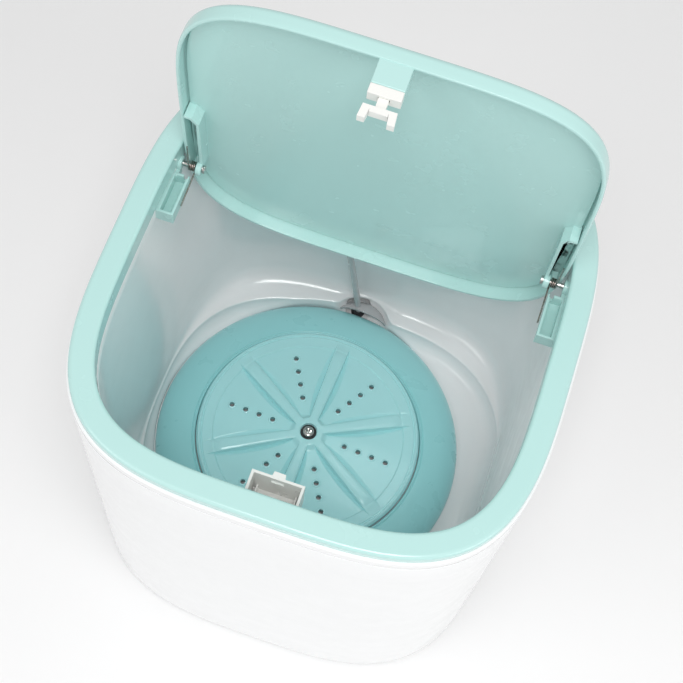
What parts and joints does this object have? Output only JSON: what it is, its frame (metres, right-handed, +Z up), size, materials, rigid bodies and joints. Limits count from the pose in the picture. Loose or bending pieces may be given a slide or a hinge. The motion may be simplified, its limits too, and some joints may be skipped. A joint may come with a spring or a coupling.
{
  "type": "portable mini washer",
  "caption": "Countertop tub washer with a flip-up spring lid, push latch, ribbed pulsator in a dome ring, lift-rod drain stopper and rear power button.",
  "frame": {"origin": "on the floor under the middle of the body, at the underside of the feet", "axes": "+Z up, +Y towards the back where the drain outlet and the power button are, +X to the right seen from the front"},
  "size_m": [0.2632, 0.2694, 0.4276],
  "materials": {
    "shell_white": "smooth glossy",
    "tub_white": "smooth glossy",
    "mint_plastic": "smooth glossy",
    "latch_white": "satin",
    "turquoise_plastic": "smooth satin",
    "aqua_plastic": "smooth glossy",
    "clear_plastic": "translucent moulded",
    "rubber_dark": "matte",
    "chrome_steel": "polished",
    "spring_steel": "drawn wire",
    "zinc_steel": "zinc plated",
    "dark_plastic": "matte",
    "board_green": "solder mask",
    "brass": "plain"
  },
  "bodies": {
    "cabinet": {"outer_shell": "shell_white", "base_plate": "shell_white", "feet": "rubber_dark", "base_screws": "zinc_steel", "tub": "tub_white", "tub_gasket": "rubber_dark", "rim_frame": "mint_plastic", "catch_pocket": "latch_white", "hinge_pin_left": "chrome_steel", "hinge_pin_right": "chrome_steel", "hinge_spring_left": "spring_steel", "hinge_spring_right": "spring_steel", "pulsator_ring": "turquoise_plastic", "drive_belt": "rubber_dark", "motor_body": "zinc_steel", "motor_bracket": "zinc_steel", "motor_screws": "zinc_steel", "bearing_housing": "latch_white", "housing_screws": "zinc_steel", "upper_bearing": "zinc_steel", "lower_bearing": "zinc_steel", "shaft_seal": "rubber_dark", "rod_guide": "latch_white", "drain_elbow": "latch_white", "elbow_gasket": "rubber_dark", "control_board": "board_green", "board_parts": "dark_plastic", "board_screws": "brass", "dc_inlet": "dark_plastic", "button_switch": "dark_plastic", "button_spring": "spring_steel", "status_lens": "clear_plastic"},
    "lid": {"lid_cover": "mint_plastic", "lid_liner": "mint_plastic", "latch_bracket": "mint_plastic", "latch_housing": "latch_white", "latch_spring": "spring_steel"},
    "latch": {"latch_fork": "latch_white"},
    "agitator": {"pulsator": "aqua_plastic", "pulsator_washer": "rubber_dark", "pulsator_screw": "chrome_steel", "drive_shaft": "chrome_steel", "driven_pulley": "dark_plastic"},
    "motor_rotor": {"motor_pulley": "dark_plastic", "motor_shaft": "chrome_steel"},
    "drain_lift": {"drain_stopper": "clear_plastic", "drain_plug": "rubber_dark", "lift_rod": "clear_plastic", "rod_pull": "clear_plastic"},
    "button": {"power_button": "mint_plastic"}
  },
  "joints": [
    {"name": "lid_hinge", "type": "hinge", "parent": "cabinet", "child": "lid", "pos_m": [0, 0.0557, 0.2608], "axis": [1, 0, 0], "range_deg": [0, 86.6], "stiffness_Nm_per_rad": 0.2, "springref_deg": -20.05, "deforming": ["hinge_spring_left", "hinge_spring_right"]},
    {"name": "latch_press", "type": "slide", "parent": "lid", "child": "latch", "axis": [0, 0.9976, 0.0698], "range_m": [0, 0.005], "stiffness_N_per_m": 250, "springref_m": -0.002, "deforming": ["latch_spring"]},
    {"name": "pulsator_spin", "type": "hinge", "parent": "cabinet", "child": "agitator", "pos_m": [-0.0085, 0, 0.04], "axis": [0, 0, 1], "continuous": true},
    {"name": "motor_spin", "type": "hinge", "parent": "cabinet", "child": "motor_rotor", "pos_m": [0.03, -0.04, 0.013], "axis": [0, 0, 1], "continuous": true},
    {"name": "drain_lift", "type": "slide", "parent": "cabinet", "child": "drain_lift", "axis": [-0.158, 0, 0.9874], "range_m": [0, 0.005]},
    {"name": "button_press", "type": "slide", "parent": "cabinet", "child": "button", "axis": [0, -1, 0], "range_m": [0, 0.002], "stiffness_N_per_m": 400, "springref_m": -0.0015, "deforming": ["button_spring"]}
  ],
  "couplings": [
    {"joint": "motor_spin", "follows": "pulsator_spin", "ratio": 3.9333}
  ]
}
